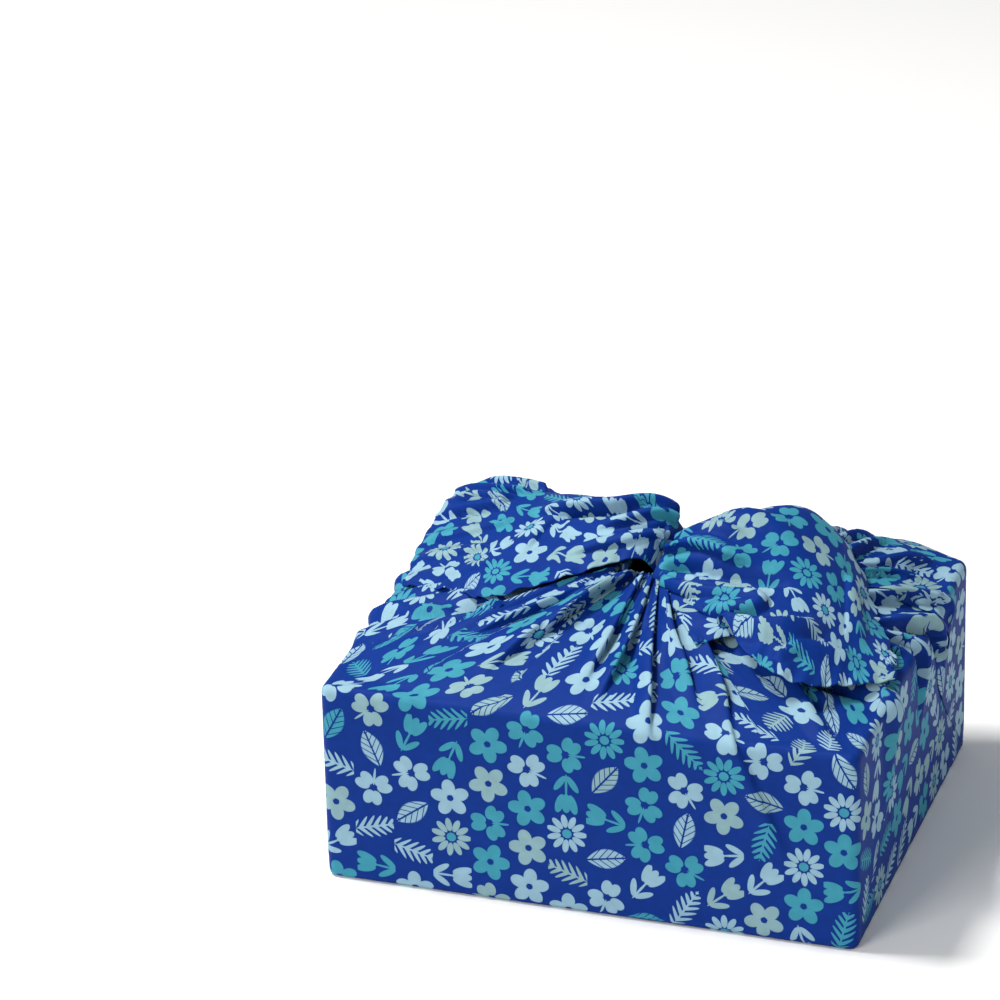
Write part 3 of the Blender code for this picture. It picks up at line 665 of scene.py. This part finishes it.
tails = [
    make_tail(LEFT_EAR, LEFT_EAR_FOLDS, EAR_GRID, LEFT_EAR_PRINT),
    make_tail(RIGHT_EAR, RIGHT_EAR_FOLDS, EAR_GRID, RIGHT_EAR_PRINT),
    make_tail(THIRD_TAIL, [], THIRD_TAIL_GRID, THIRD_TAIL_PRINT),
]

# All of the cloth in one mesh, as it is one square
MEETING_GAP = 0.001 * MM
points =[wrap_points.reshape(-1, 3)]
prints = [wrap_print.reshape(-1, 2)]
row_count, column_count = walked.shape
index = np.arange(row_count * column_count).reshape(row_count, column_count)
following = np.roll(index, -1, axis=1)
faces = [np.stack((index[:-1], index[1:], following[1:], following[:-1]), -1).reshape(-1, 4)]
total = index.size
for grid, printed in tails:
    index = total + np.arange(grid.shape[0] * grid.shape[1]).reshape(grid.shape[:2])
    near, far = index[:-1], index[1:]
    faces.append(np.stack((near[:, :-1], far[:, :-1], far[:, 1:], near[:, 1:]), -1).reshape(-1, 4))
    points.append(grid.reshape(-1, 3))
    prints.append(printed.reshape(-1, 2))
    total += index.size
points, prints, faces = np.concatenate(points), np.concatenate(prints), np.concatenate(faces)

cloth_mesh = bpy.data.meshes.new("furoshiki_cloth")
cloth_mesh.from_pydata(points.tolist(), [], faces.tolist())
flat_map = cloth_mesh.uv_layers.new(name="flat square")
corner_points = np.zeros(len(cloth_mesh.loops), np.int32)
cloth_mesh.loops.foreach_get("vertex_index", corner_points)
flat_map.data.foreach_set("uv", prints[corner_points].ravel())

# A flap runs out to nothing at the foot, where its columns meet in one point
sewn = bmesh.new()
sewn.from_mesh(cloth_mesh)
bmesh.ops.remove_doubles(sewn, verts=sewn.verts, dist=MEETING_GAP)
sewn.to_mesh(cloth_mesh)
sewn.free()
cloth_mesh.shade_smooth()
furoshiki = bpy.data.objects.new("furoshiki_cloth", cloth_mesh)
bpy.context.scene.collection.objects.link(furoshiki)

# The printed cotton
# A fine plain weave, dyed blue and printed in three pale inks with a half-drop repeat of common
# garden flowers and leaves. The shapes are drawn by formulas on the flat square, in millimetres.

DYED_BLUE = (0.0015, 0.026, 0.20, 1)
INKS = ((0.0, (0.24, 0.40, 0.50, 1)), (0.44, (0.21, 0.35, 0.39, 1)), (0.66, (0.04, 0.25, 0.34, 1)))
DAISY_EYE = (0.04, 0.25, 0.34, 1)
DAISY_EYE_RADIUS = 2.1
REPEAT_ACROSS = 20.5
REPEAT_ALONG = 22.5
MOTIF_SCALE = 1.17
INK_EDGE = (1.1, 0.9)
COTTON_ROUGHNESS = 0.6

cotton, tree, shader = new_finish("printed cotton", COTTON_ROUGHNESS)
nodes, links = tree.nodes, tree.links


class Drawn:
    """A number at each point of the cloth, so that a printed shape reads as a formula."""

    def __init__(self, socket):
        self.socket = socket

    def reckon(self, operation, *others):
        step = nodes.new("ShaderNodeMath")
        step.operation = operation
        links.new(self.socket, step.inputs[0])
        for entry, other in zip(step.inputs[1:], others):
            if isinstance(other, Drawn):
                links.new(other.socket, entry)
            else:
                entry.default_value = other
        return Drawn(step.outputs[0])

    def __add__(self, other):
        return self.reckon("ADD", other)

    def __sub__(self, other):
        return self.reckon("SUBTRACT", other)

    def __mul__(self, other):
        return self.reckon("MULTIPLY", other)

    def __truediv__(self, other):
        return self.reckon("DIVIDE", other)

    def __abs__(self):
        return self.reckon("ABSOLUTE")

    def least(self, other):
        return self.reckon("MINIMUM", other)

    def most(self, other):
        return self.reckon("MAXIMUM", other)


def oval(x, y, middle, half, tilt=0):
    """Below 1 inside an ellipse, whose long side leans clockwise by the tilt in degrees."""
    cos, sin = math.cos(math.radians(tilt)), math.sin(math.radians(tilt))
    x, y = x - middle[0], y - middle[1]
    across, along = x * cos - y * sin, x * sin + y * cos
    across, along = across * (1 / half[0]), along * (1 / half[1])
    return across * across + along * along


def round_about(x, y, petals):
    """The coordinates of one petal of a ring, which the others repeat."""
    out = (x * x + y * y).reckon("SQRT")
    angle = x.reckon("ARCTAN2", y).reckon("PINGPONG", math.pi / petals)
    return out * angle.reckon("SINE"), out * angle.reckon("COSINE"), out


def daisy(x, y):
    """Eleven narrow petals round a disc."""
    across, along, out = round_about(x, y, 11)
    disc = (out * (1 / DAISY_EYE_RADIUS)).reckon("POWER", 2)
    return oval(across, along, (0, 6.1), (1.45, 3.2)).least(disc)


def fern(x, y):
    """Slanting barbs on a stem, shorter towards both ends."""
    width_squared, length_squared, tip = 27, 115, 0.05
    slant, spacing, barb_width = 0.9, 1.75, 1.12
    taper = (y * y * (-width_squared / length_squared) + width_squared).most(tip)
    barb = (y - abs(x) * slant).reckon("PINGPONG", spacing) * (1 / barb_width)
    return (barb * barb + x * x / taper).least(oval(x, y, (0, 0), (0.5, 9.2)))


def tulip(x, y):
    """A cup of three petals on a stem with two leaves."""
    right = abs(x)
    bloom = oval(right, y, (0, 4.4), (2.1, 4.6)).least(oval(right, y, (2.9, 4.7), (1.9, 4.7), 16))
    leaves = oval(right, y, (2.9, -5.2), (1.45, 4.4), 34)
    return bloom.least(leaves).least(oval(x, y, (0, -4.5), (0.55, 5.5)))


def clover(x, y):
    """Three notched leaves on a short stem."""
    across, along, _ = round_about(x, y, 3)
    leaf = oval(across, along, (1.75, 4.9), (2.5, 3.5), 14)
    return leaf.least(oval(x, y, (0, -5.4), (0.55, 4.2)))


def veined_leaf(x, y):
    """A pointed leaf with its midrib and veins left blue."""
    half_width, length_squared, tip = 4.6, 84, 0.02
    midrib_width, slant, spacing, vein_width = 0.42, 1.1, 1.75, 0.3
    lens = abs(x) / ((y * y * (-half_width / length_squared) + half_width).most(tip))
    midrib = (abs(x) * (-1 / midrib_width) + 2).most(0)
    veins = ((y - abs(x) * slant).reckon("PINGPONG", spacing) * (-1 / vein_width) + 2).most(0)
    return lens.most(midrib).most(veins)


def blossom(x, y):
    """Five round petals with a hole in the middle."""
    hole = 1.5
    across, along, out = round_about(x, y, 5)
    return oval(across, along, (0, 5.1), (3.0, 3.9)).most((out * (-1 / hole) + 2).most(0))


MOTIFS = (daisy, fern, tulip, clover, veined_leaf, blossom)

flat_at = nodes.new("ShaderNodeUVMap")
flat_at.uv_map = "flat square"
split = nodes.new("ShaderNodeSeparateXYZ")
links.new(flat_at.outputs["UV"], split.inputs["Vector"])
across_cloth = Drawn(split.outputs["X"]) * (1 / MM)
along_cloth = Drawn(split.outputs["Y"]) * (1 / MM)
column = across_cloth * (1 / REPEAT_ACROSS)
column_number = column.reckon("FLOOR")
row = along_cloth * (1 / REPEAT_ALONG) + column_number * 0.5
row_number = row.reckon("FLOOR")
place = nodes.new("ShaderNodeCombineXYZ")
links.new(column_number.socket, place.inputs["X"])
links.new(row_number.socket, place.inputs["Y"])
draw = nodes.new("ShaderNodeTexWhiteNoise")
draw.noise_dimensions = "2D"
links.new(place.outputs["Vector"], draw.inputs["Vector"])
drawn = nodes.new("ShaderNodeSeparateColor")
links.new(draw.outputs["Color"], drawn.inputs["Color"])
pick, lean_draw, ink_draw = (Drawn(drawn.outputs[name]) for name in ("Red", "Green", "Blue"))

local_x = (column - column_number - 0.5) * REPEAT_ACROSS
local_y = (row - row_number - 0.5) * REPEAT_ALONG
angle = lean_draw * (2 * math.pi)
cos, sin = angle.reckon("COSINE"), angle.reckon("SINE")
local_x, local_y = local_x * (1 / MOTIF_SCALE), local_y * (1 / MOTIF_SCALE)
motif_x, motif_y = local_x * cos - local_y * sin, local_x * sin + local_y * cos
choice = (pick * len(MOTIFS)).reckon("FLOOR")
shape = None
for number, motif in enumerate(MOTIFS):
    part = motif(motif_x, motif_y) * choice.reckon("COMPARE", number, 0.5)
    shape = part if shape is None else shape + part
printed_here = nodes.new("ShaderNodeMapRange")
printed_here.interpolation_type = "SMOOTHSTEP"
for name, value in zip(("From Min", "From Max"), INK_EDGE):
    printed_here.inputs[name].default_value = value
links.new(shape.socket, printed_here.inputs["Value"])

ink = nodes.new("ShaderNodeValToRGB")
ink.color_ramp.interpolation = "CONSTANT"
while len(ink.color_ramp.elements) < len(INKS):
    ink.color_ramp.elements.new(0.5)
for stop, (position, colour) in zip(ink.color_ramp.elements, INKS):
    stop.position = position
    stop.color = colour
links.new(ink_draw.socket, ink.inputs["Fac"])

# Only a daisy has an eye in a second ink
eye_half = (DAISY_EYE_RADIUS, DAISY_EYE_RADIUS)
in_eye = oval(local_x, local_y, (0, 0), eye_half).reckon("LESS_THAN", 1)
eye = in_eye * choice.reckon("COMPARE", MOTIFS.index(daisy), 0.5)
eyed = nodes.new("ShaderNodeMix")
eyed.data_type = "RGBA"
links.new(eye.socket, eyed.inputs["Factor"])
links.new(ink.outputs["Color"], eyed.inputs["A"])
eyed.inputs["B"].default_value = DAISY_EYE

# The dye and the inks are a little uneven
MOTTLE_PER_M = 160
MOTTLE_DETAIL = 5
MOTTLE_DARKEST, MOTTLE_RANGE = 0.82, 0.36
mottle = nodes.new("ShaderNodeTexNoise")
mottle.inputs["Scale"].default_value = MOTTLE_PER_M
mottle.inputs["Detail"].default_value = MOTTLE_DETAIL
links.new(flat_at.outputs["UV"], mottle.inputs["Vector"])
inked = nodes.new("ShaderNodeMix")
inked.data_type = "RGBA"
links.new(printed_here.outputs["Result"], inked.inputs["Factor"])
inked.inputs["A"].default_value = DYED_BLUE
links.new(eyed.outputs["Result"], inked.inputs["B"])
uneven = nodes.new("ShaderNodeHueSaturation")
strength = Drawn(mottle.outputs["Fac"]) * MOTTLE_RANGE + MOTTLE_DARKEST
links.new(strength.socket, uneven.inputs["Value"])
links.new(inked.outputs["Result"], uneven.inputs["Color"])
links.new(uneven.outputs["Color"], shader.inputs["Base Color"])

# Plain weave, with thread over thread, and a faint bloom of fibre ends
THREADS_PER_MM = 2.2
THREAD_RELIEF = 0.015 * MM
COTTON_GLOSS = 0.08
BLOOM, BLOOM_ROUGHNESS, BLOOM_TINT = 0.01, 0.45, (0.75, 0.82, 1, 1)
warp = (across_cloth * (THREADS_PER_MM * math.pi)).reckon("SINE")
weft = (along_cloth * (THREADS_PER_MM * math.pi)).reckon("SINE")
weave = nodes.new("ShaderNodeBump")
weave.inputs["Distance"].default_value = THREAD_RELIEF
links.new((warp * weft + Drawn(mottle.outputs["Fac"])).socket, weave.inputs["Height"])
links.new(weave.outputs["Normal"], shader.inputs["Normal"])
shader.inputs["Specular IOR Level"].default_value = COTTON_GLOSS
shader.inputs["Sheen Weight"].default_value = BLOOM
shader.inputs["Sheen Roughness"].default_value = BLOOM_ROUGHNESS
shader.inputs["Sheen Tint"].default_value = BLOOM_TINT
cloth_mesh.materials.append(cotton)

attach(furoshiki, "root")
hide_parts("furoshiki")

# The stage
# A plain pale floor, a soft light from high on the left, a broad one in front, a weak one from
# the right and an even pale sky. The camera stands where the photograph was taken from.

FLOOR_SIZE = 12
FLOOR_WHITE = (0.93, 0.93, 0.93, 1)
FLOOR_ROUGHNESS = 0.9
LIGHTS = (
    # name, place (m), size (m), power (W), colour
    ("key", (-0.95, -0.1, 2.1), 0.5, 56, (1, 0.98, 0.95)),
    ("front", (-0.85, -2.1, 1.3), 1.0, 30, (1, 0.99, 0.97)),
    ("right", (1.9, 0.4, 1.0), 1.0, 6, (0.94, 0.97, 1)),
)
SKY_COLOUR = (0.96, 0.98, 1, 1)
SKY_STRENGTH = 0.3

bpy.ops.mesh.primitive_plane_add(size=FLOOR_SIZE)
floor = bpy.context.object
floor.name = "floor"
pale, tree, shader = new_finish("pale floor", FLOOR_ROUGHNESS)
shader.inputs["Base Color"].default_value = FLOOR_WHITE
floor.data.materials.append(pale)


def add_light(name, position, size, power, colour):
    """A soft square light that looks at the wrap."""
    lamp = bpy.data.lights.new(name, "AREA")
    lamp.size = size
    lamp.energy = power
    lamp.color = colour
    made = bpy.data.objects.new(name, lamp)
    made.location = position
    to_wrap = Vector((0, 0, LID)) - Vector(position)
    made.rotation_euler = to_wrap.to_track_quat("-Z", "Y").to_euler()
    bpy.context.scene.collection.objects.link(made)


for light in LIGHTS:
    add_light(*light)
sky = bpy.data.worlds.new("pale sky")
sky.use_nodes = True
sky.node_tree.nodes["Background"].inputs["Color"].default_value = SKY_COLOUR
sky.node_tree.nodes["Background"].inputs["Strength"].default_value = SKY_STRENGTH
bpy.context.scene.world = sky
bpy.context.scene.view_settings.view_transform = "Standard"

CAMERA_AT = Vector((0.7362, -2.4047, 1.401))
CAMERA_YAW, CAMERA_PITCH, CAMERA_ROLL = (math.radians(a) for a in (18.74, 25.88, -1.44))
LENS_MM, FILM_WIDTH_MM = 198, 36
lens = bpy.data.cameras.new("camera")
lens.lens = LENS_MM
lens.sensor_width = FILM_WIDTH_MM
camera = bpy.data.objects.new("camera", lens)
turned = Matrix.Rotation(CAMERA_YAW, 4, "Z") @ Matrix.Rotation(math.pi / 2 - CAMERA_PITCH, 4, "X")
camera.matrix_world = Matrix.Translation(CAMERA_AT) @ turned @ Matrix.Rotation(CAMERA_ROLL, 4, "Z")
bpy.context.scene.collection.objects.link(camera)
bpy.context.scene.camera = camera
